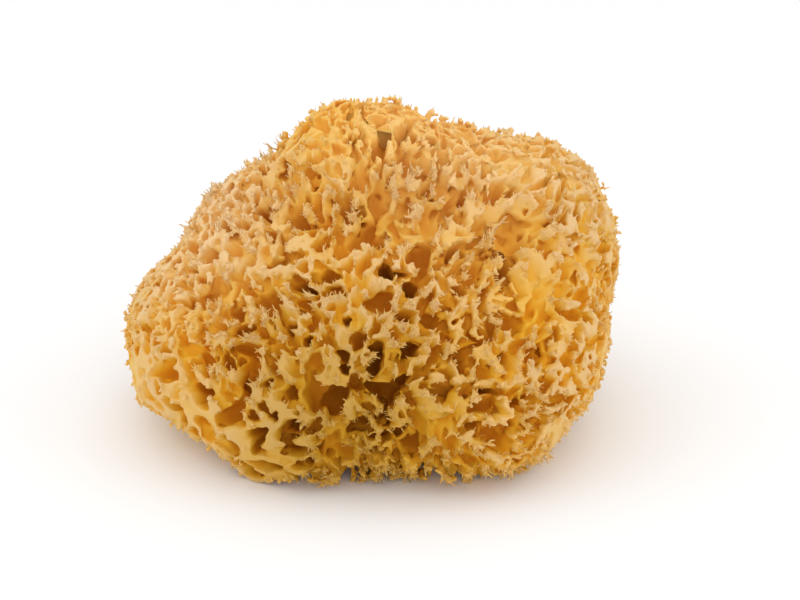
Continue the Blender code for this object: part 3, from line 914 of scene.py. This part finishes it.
def set_attribute(mesh, name, values):
    attribute = mesh.attributes.new(name, "FLOAT", "POINT")
    attribute.data.foreach_set("value", np.asarray(values, np.float32))


def steps(values, low, high):
    part = np.clip((values - low) / (high - low), 0, 1)
    return part * part * (3 - 2 * part)


SECTORS = (
    ("sponge_front_left", -1, -1),
    ("sponge_front_right", 1, -1),
    ("sponge_back_left", -1, 1),
    ("sponge_back_right", 1, 1),
)
SECTOR_CENTRE = (-3.0, -4.0)  # x and y where all four meet
SECTOR_WAVES = 14.0, 3.0  # feature size and height of the wavy lines where they meet
SECTOR_OVERLAP = 1.6  # mm that each of them reaches into the next one
SEAM_DIP = 0.35  # how much lower it lies there for each of those mm, so that its cut edge is covered
SEAM_BARE = 0.5  # mm before the next one where the teeth end
LIGHT_ABOVE = 1.0  # mm above the surface where its light is taken

# Where teeth grow
CLUSTER_SIZE, CLUSTER_BETWEEN = 3.5, (-1.2, 0.7)  # feature size, and heights with no and all teeth
WALL_AREA, WALL_TISSUE = 1.6, (0.16, 0.44)  # mm around a place, and shares of tissue: thin and thick wall
THIN_BETWEEN = 0.05, 0.5
TEETH_BETWEEN = -3.5, -1.0  # mm outside the body's outline
TEETH_ABOVE = 1.5  # mm above the cut
FEWEST_TEETH = 0.08  # the share of them between the clusters
SMOOTH_TEETH, QUIET_TEETH = 0.85, 0.75  # the shares missing where walls are smooth, and at ends and top
WEAKEST, STRONGER = 0.55, 0.75  # their length between the clusters, and how much more there is in them
WAY_AREA, WAY_FLOW = 3.0, 0.4


def set_vectors(mesh, name, values):
    attribute = mesh.attributes.new(name, "FLOAT_VECTOR", "POINT")
    attribute.data.foreach_set("vector", np.asarray(values, np.float32).ravel())


def growing_way(solid, places):
    """Which way a wall stands at each place: away from the thick of the sponge, and with the flow."""
    return unit(slope(solid, places) + WAY_FLOW * flow(places))


def liveliness(places, outline, clusters):
    """From 0 to 1: how richly teeth grow at each place."""
    lively = steps(sampled(clusters, places), *CLUSTER_BETWEEN)
    lively = lively * (1 - SMOOTH_TEETH * smooth_part(places))
    top = top_part(sampled(outline, places + UPWARD) - sampled(outline, places))
    return lively * (1 - QUIET_TEETH * np.maximum(end_part(places), top))


def crests(places, outline, tissue, lively):
    """From 0 to 1: how close together teeth stand, which is on thin walls near the body's outline."""
    thin = 1 - steps(sampled(tissue, places), *WALL_TISSUE)
    standing = steps(sampled(outline, places), *TEETH_BETWEEN) * (places[:, 2] > TEETH_ABOVE)
    return steps(thin, *THIN_BETWEEN) * standing * (FEWEST_TEETH + (1 - FEWEST_TEETH) * lively)


def body_pieces(carving):
    """The body in four closed pieces that overlap a little, with what their finish and teeth need."""
    chance = np.random.default_rng(SEED + 2)
    size, height = SECTOR_WAVES
    waves = [noise(carving.shape, size, chance) * height for _ in range(2)]
    clusters = noise(carving.shape, CLUSTER_SIZE, chance)
    x, y = (GRID_LOW[a] + STEP * np.arange(carving.shape[a]) for a in range(2))
    x = x[:, None, None].astype(np.float32) - SECTOR_CENTRE[0]
    y = y[None, :, None].astype(np.float32) - SECTOR_CENTRE[1]
    solid = (carving.field < 0).astype(np.float32)
    tissue, wide_tissue = blurred(solid, WALL_AREA), blurred(solid, WAY_AREA)
    light = light_inside(solid)
    pieces = []
    for name, right, back in SECTORS:
        border = np.maximum(-right * (x + waves[0]), -back * (y + waves[1]))
        dipped = carving.field + SEAM_DIP * np.clip(border, 0, SECTOR_OVERLAP)
        piece = skin(np.maximum(dipped, border - SECTOR_OVERLAP), carving.outline, name)
        places = points_of(piece.data)
        reaching = sampled(light, places + LIGHT_ABOVE * normals_of(piece.data), LIGHT_CELL)
        set_attribute(piece.data, "light", reaching)
        lively = liveliness(places, carving.outline, clusters)
        crest = crests(places, carving.outline, tissue, lively)
        set_attribute(piece.data, "crest", crest * (sampled(border, places) < -SEAM_BARE))
        set_attribute(piece.data, "vigour", WEAKEST + STRONGER * lively)
        set_vectors(piece.data, "way", growing_way(wide_tissue, places))
        pieces.append(piece)
    return pieces


# Teeth, the pointed fibre ends along the walls' tops

TOOTH_INPUTS = (
    ("Tooth Spacing", "NodeSocketFloat", 0.7 * MM),
    ("Teeth per Area", "NodeSocketFloat", 6.0 / MM**2),
    ("Shortest", "NodeSocketFloat", 0.5 * MM),
    ("Longest", "NodeSocketFloat", 1.6 * MM),
    ("Thinnest", "NodeSocketFloat", 0.15 * MM),
    ("Thickest", "NodeSocketFloat", 0.35 * MM),
    ("Bend", "NodeSocketFloat", 1.2),
    ("Root", "NodeSocketFloat", 0.35),
    ("Point", "NodeSocketFloat", 0.16),
    ("Scatter", "NodeSocketFloat", 0.45),
    ("Sides", "NodeSocketInt", 3),
    ("Steps", "NodeSocketInt", 2),
    ("Seed", "NodeSocketInt", 3),
    ("Finish", "NodeSocketMaterial", None),
)


class Tree:
    """A geometry node tree being built."""

    def __init__(self, name, inputs):
        self.group = bpy.data.node_groups.new(name, "GeometryNodeTree")
        face = self.group.interface
        face.new_socket("Geometry", in_out="INPUT", socket_type="NodeSocketGeometry")
        for title, kind, value in inputs:
            socket = face.new_socket(title, in_out="INPUT", socket_type=kind)
            if value is not None:
                socket.default_value = value
        face.new_socket("Geometry", in_out="OUTPUT", socket_type="NodeSocketGeometry")
        self.inputs = self.group.nodes.new("NodeGroupInput").outputs

    def node(self, kind, settings=(), **values):
        """Adds a node. Each value is for the socket of that identifier, or a link to it."""
        node = self.group.nodes.new(kind)
        for name, value in dict(settings).items():
            setattr(node, name, value)
        sockets = {socket.identifier.replace(" ", "_"): socket for socket in node.inputs}
        for name, value in values.items():
            if isinstance(value, bpy.types.NodeSocket):
                self.group.links.new(value, sockets[name])
            else:
                sockets[name].default_value = value
        return node

    def random(self, low, high, seed, kind="FLOAT"):
        number = "_001" if kind == "FLOAT" else ""
        node = self.node("FunctionNodeRandomValue", {"data_type": kind},
                         **{"Min" + number: low, "Max" + number: high, "Seed": seed})
        return next(socket for socket in node.outputs if socket.enabled)

    def math(self, operation, first, second):
        return self.node("ShaderNodeMath", {"operation": operation}, Value=first,
                         Value_001=second).outputs[0]

    def sum(self, first, second):
        return self.math("ADD", first, second)

    def product(self, first, second):
        return self.math("MULTIPLY", first, second)

    def vector(self, x=0.0, y=0.0, z=0.0):
        return self.node("ShaderNodeCombineXYZ", X=x, Y=y, Z=z).outputs[0]

    def stored(self, name, kind="FLOAT"):
        return self.node("GeometryNodeInputNamedAttribute", {"data_type": kind}, Name=name).outputs[0]


def tooth_shape(tree):
    """One bent, tapering tooth of unit length and unit thickness, rooted below the surface."""
    inputs = tree.inputs
    below = tree.product(inputs["Root"], -1.0)
    line = tree.node("GeometryNodeCurveQuadraticBezier", Resolution=8,
                     Start=tree.vector(z=below), Middle=(0.0, 0.0, 0.6),
                     End=tree.vector(x=inputs["Bend"], z=1.0)).outputs[0]
    line = tree.node("GeometryNodeResampleCurve", Curve=line,
                     Count=tree.sum(inputs["Steps"], 1.0)).outputs[0]
    along = tree.node("GeometryNodeSplineParameter").outputs["Factor"]
    line = tree.node("GeometryNodeStoreNamedAttribute", {"data_type": "FLOAT", "domain": "POINT"},
                     Geometry=line, Name="along", Value=along).outputs[0]
    taper = tree.node("ShaderNodeMapRange", Value=along, To_Min=1.0, To_Max=inputs["Point"]).outputs[0]
    ring = tree.node("GeometryNodeCurvePrimitiveCircle", Resolution=inputs["Sides"], Radius=1.0).outputs[0]
    return tree.node("GeometryNodeCurveToMesh", Curve=line, Profile_Curve=ring, Scale=taper,
                     Fill_Caps=True).outputs[0]


def teeth_tree():
    """Stands teeth on a surface where its crest attribute is high, along its way attribute."""
    tree = Tree("fibre_teeth", TOOTH_INPUTS)
    inputs = tree.inputs
    seeds = [tree.sum(inputs["Seed"], float(extra)) for extra in range(5)]
    points = tree.node("GeometryNodeDistributePointsOnFaces", {"distribute_method": "POISSON"},
                       Mesh=inputs["Geometry"], Distance_Min=inputs["Tooth Spacing"],
                       Density_Max=inputs["Teeth per Area"], Density_Factor=tree.stored("crest"),
                       Seed=seeds[0]).outputs["Points"]
    scatter = tree.node("ShaderNodeVectorMath", {"operation": "SCALE"}, Scale=inputs["Scatter"],
                        Vector=tree.random((-1, -1, -1), (1, 1, 1), seeds[1], "FLOAT_VECTOR")).outputs[0]
    way = tree.node("ShaderNodeVectorMath", Vector=tree.stored("way", "FLOAT_VECTOR"),
                    Vector_001=scatter).outputs[0]
    stand = tree.node("FunctionNodeAlignRotationToVector", {"axis": "Z"}, Vector=way).outputs[0]
    turn = tree.node("FunctionNodeAxisAngleToRotation", Angle=tree.random(0.0, math.tau, seeds[2])).outputs[0]
    turned = tree.node("FunctionNodeRotateRotation", {"rotation_space": "LOCAL"}, Rotation=stand,
                       Rotate_By=turn).outputs[0]
    thickness = tree.random(inputs["Thinnest"], inputs["Thickest"], seeds[3])
    length = tree.product(tree.random(inputs["Shortest"], inputs["Longest"], seeds[4]), tree.stored("vigour"))
    teeth = tree.node("GeometryNodeInstanceOnPoints", Points=points, Instance=tooth_shape(tree),
                      Rotation=turned, Scale=tree.vector(thickness, thickness, length)).outputs[0]
    teeth = tree.node("GeometryNodeRealizeInstances", Geometry=teeth).outputs[0]
    teeth = tree.node("GeometryNodeSetMaterial", Geometry=teeth, Material=inputs["Finish"]).outputs[0]
    output = tree.group.nodes.new("NodeGroupOutput")
    tree.group.links.new(teeth, output.inputs["Geometry"])
    return tree.group


def teeth_on(piece, group, finish, seed):
    """The teeth of one piece of the body, as a piece of their own."""
    name = piece.name.replace("sponge", "teeth")
    teeth = bpy.data.objects.new(name, piece.data.copy())
    bpy.context.scene.collection.objects.link(teeth)
    growth = teeth.modifiers.new("teeth", "NODES")
    growth.node_group = group
    sockets = {item.name: item.identifier for item in group.interface.items_tree if item.in_out == "INPUT"}
    growth[sockets["Seed"]] = seed
    growth[sockets["Finish"]] = finish
    apply_modifiers(teeth)
    return teeth


# Materials

def new_material(name):
    material = bpy.data.materials.new(name)
    material.use_nodes = True
    return material, material.node_tree.nodes, material.node_tree.links


def attribute_node(nodes, name):
    node = nodes.new("ShaderNodeAttribute")
    node.attribute_name = name
    return node.outputs["Fac"]


def math_node(nodes, links, operation, first, second=0.0, third=0.0):
    """One step of arithmetic; each value is a number or another node's output."""
    node = nodes.new("ShaderNodeMath")
    node.operation = operation
    for socket, value in zip(node.inputs, (first, second, third)):
        if isinstance(value, (int, float)):
            socket.default_value = value
        else:
            links.new(value, socket)
    return node.outputs["Value"]


def ramp_node(nodes, links, factor, stops):
    """Colours at places from 0 to 1."""
    node = nodes.new("ShaderNodeValToRGB")
    elements = node.color_ramp.elements
    while len(elements) < len(stops):
        elements.new(0.5)
    for element, (place, colour) in zip(elements, stops):
        element.position = place
        element.color = (*colour, 1.0)
    links.new(factor, node.inputs["Fac"])
    return node.outputs["Color"]


def mixed(nodes, links, factor, first, second, blend="MIX"):
    node = nodes.new("ShaderNodeMix")
    node.data_type, node.blend_type = "RGBA", blend
    for name, value in (("Factor", factor), ("A", first), ("B", second)):
        if isinstance(value, (int, float)):
            node.inputs[name].default_value = value
        elif isinstance(value, tuple):
            node.inputs[name].default_value = (*value, 1.0)
        else:
            links.new(value, node.inputs[name])
    return node.outputs["Result"]


def noise_node(nodes, links, scale, detail=2.0):
    place = nodes.new("ShaderNodeTexCoord")
    node = nodes.new("ShaderNodeTexNoise")
    node.inputs["Scale"].default_value = scale
    node.inputs["Detail"].default_value = detail
    links.new(place.outputs["Object"], node.inputs["Vector"])
    return node.outputs["Fac"]


# The tissue's colour by how much light gets to it: painted shade, darkest and most orange where little light
# reaches
TISSUE_COLOURS_BY_LIGHT = (
    (0.0, (0.55, 0.195, 0.008)),
    (0.11, (0.68, 0.27, 0.012)),
    (0.21, (0.78, 0.37, 0.015)),
    (0.31, (0.78, 0.425, 0.033)),
    (0.41, (0.73, 0.44, 0.10)),
    (0.53, (0.67, 0.44, 0.20)),
)
TOOTH_COLOURS_BY_LIGHT = (
    (0.0, (0.78, 0.41, 0.045)),
    (0.3, (0.81, 0.46, 0.085)),
    (0.6, (0.79, 0.50, 0.17)),
)
PALER_TIPS = 0.3  # how much more light a tooth's tip counts as getting in that painted shade, which paints it paler
PATCH_SIZE = 11 * MM
PATCH_CONTRAST = 0.12
LOW_FRONT_DARKENING = (0.70, 0.66, 0.45)  # what the colour low in the front is multiplied by: darker and duller there, partly painted shade below the overhang
LOW_FRONT_PATCH = (-7.0, -52.0, 18.0), 50.0  # centre and radius
# Painted light: the colour is made paler in two patches, on the upper left and on the top, the more so the
# more light reaches there
PALE_LIT_COLOUR = (0.82, 0.57, 0.31)
PALE_LIT_PATCHES = (((-44.0, -5.0, 66.0), 46.0), ((22.0, 0.0, 92.0), 66.0))
PALE_LIT_MOST = 1.3, 1.4  # times the light


def patch_node(nodes, links, patch, most=1.0):
    """A factor that falls from most in the middle of a round patch to 0 at its edge."""
    centre, radius = patch
    place = nodes.new("ShaderNodeTexCoord")
    distance = nodes.new("ShaderNodeVectorMath")
    distance.operation = "DISTANCE"
    distance.inputs[1].default_value = [value * MM for value in centre]
    links.new(place.outputs["Object"], distance.inputs[0])
    factor = nodes.new("ShaderNodeMapRange")
    factor.interpolation_type = "SMOOTHSTEP"
    factor.inputs["From Max"].default_value = radius * MM
    factor.inputs["To Min"].default_value = most
    factor.inputs["To Max"].default_value = 0.0
    links.new(distance.outputs["Value"], factor.inputs["Value"])
    return factor.outputs["Result"]


def sponge_material(name, colours, scattering):
    """The sponge's finish, with painted shade and painted light in its colour, and the depth in metres that
    light scatters in it.
    """
    material, nodes, links = new_material(name)
    shader = nodes["Principled BSDF"]
    light = math_node(nodes, links, "MULTIPLY_ADD", attribute_node(nodes, "along"), PALER_TIPS,
                      attribute_node(nodes, "light"))
    patches = noise_node(nodes, links, 1 / PATCH_SIZE)
    light = math_node(nodes, links, "MULTIPLY_ADD", patches, PATCH_CONTRAST, light)
    light = math_node(nodes, links, "SUBTRACT", light, PATCH_CONTRAST / 2)
    # painted shade: the colour turns darker and more orange where less light reaches
    colour = ramp_node(nodes, links, light, colours)
    # painted light: paler in the two patches, the more so where more light reaches
    paler_where_lit = [patch_node(nodes, links, *patch) for patch in zip(PALE_LIT_PATCHES, PALE_LIT_MOST)]
    paler_where_lit = math_node(nodes, links, "MAXIMUM", *paler_where_lit)
    paler_where_lit = math_node(nodes, links, "MULTIPLY", paler_where_lit, light)
    colour = mixed(nodes, links, paler_where_lit, colour, PALE_LIT_COLOUR)
    # partly painted shade: the colour is darker and duller low in the front
    colour = mixed(nodes, links, patch_node(nodes, links, LOW_FRONT_PATCH), colour, LOW_FRONT_DARKENING, "MULTIPLY")
    links.new(colour, shader.inputs["Base Color"])
    shader.inputs["Roughness"].default_value = 0.75
    shader.inputs["Specular IOR Level"].default_value = 0.12
    if scattering:
        shader.inputs["Subsurface Weight"].default_value = 0.5
        shader.inputs["Subsurface Radius"].default_value = (1.0, 0.85, 0.6)
        shader.inputs["Subsurface Scale"].default_value = scattering
    return material


# Floor, light and camera

FLOOR_SIZE = 6.0  # metres
FLOOR_COLOUR = (0.92, 0.92, 0.92, 1.0)
WORLD_LIGHT = 0.81
LIT_PLACE = Vector((0.0, 0.0, 0.04))  # what the lamps face, in metres
# (name, place in metres, width in metres, watts)
LAMPS = (
    ("key", (-0.2, 0.0, 1.2), 1.6, 3.6),
    ("front", (0.1, -1.3, 0.6), 1.0, 4.1),
    ("left", (-0.95, -0.1, 0.55), 0.9, 1.7),
    ("right", (0.95, -0.1, 0.55), 0.9, 2.2),
)


def lay_floor():
    bpy.ops.mesh.primitive_plane_add(size=FLOOR_SIZE)
    floor = bpy.context.object
    floor.name = "floor"
    material, nodes, _ = new_material("pale_floor")
    nodes["Principled BSDF"].inputs["Base Color"].default_value = FLOOR_COLOUR
    nodes["Principled BSDF"].inputs["Roughness"].default_value = 0.9
    floor.data.materials.append(material)


def turned_to(target, place):
    return (target - place).to_track_quat("-Z", "Y").to_euler()


def light_studio():
    scene = bpy.context.scene
    scene.view_settings.view_transform = "Standard"
    world = bpy.data.worlds.new("studio")
    scene.world = world
    world.use_nodes = True
    world.node_tree.nodes["Background"].inputs["Color"].default_value = (1, 1, 1, 1)
    world.node_tree.nodes["Background"].inputs["Strength"].default_value = WORLD_LIGHT
    for name, place, size, power in LAMPS:
        light = bpy.data.lights.new(name, "AREA")
        light.size, light.energy = size, power
        lamp = bpy.data.objects.new(name, light)
        lamp.location = place
        lamp.rotation_euler = turned_to(LIT_PLACE, Vector(place))
        scene.collection.objects.link(lamp)


def aim_camera():
    camera = bpy.data.cameras.new("camera")
    camera.lens, camera.sensor_width = LENS, 36.0
    holder = bpy.data.objects.new("camera", camera)
    holder.location = EYE * MM
    holder.rotation_euler = turned_to(Vector(VIEW_AIM * MM), holder.location)
    bpy.context.scene.collection.objects.link(holder)
    bpy.context.scene.camera = holder


def main():
    finish = sponge_material("sponge_fibre", TISSUE_COLOURS_BY_LIGHT, 0.9 * MM)
    pieces = body_pieces(carved_sponge())
    for piece in pieces:
        piece.data.materials.append(finish)
    group, tooth_finish = teeth_tree(), sponge_material("fibre_ends", TOOTH_COLOURS_BY_LIGHT, 0.0)
    pieces += [teeth_on(piece, group, tooth_finish, SEED + n) for n, piece in enumerate(pieces)]
    for piece in pieces:
        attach(piece, "root")
        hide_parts("sea_sponge")
    lay_floor()
    light_studio()
    aim_camera()


main()
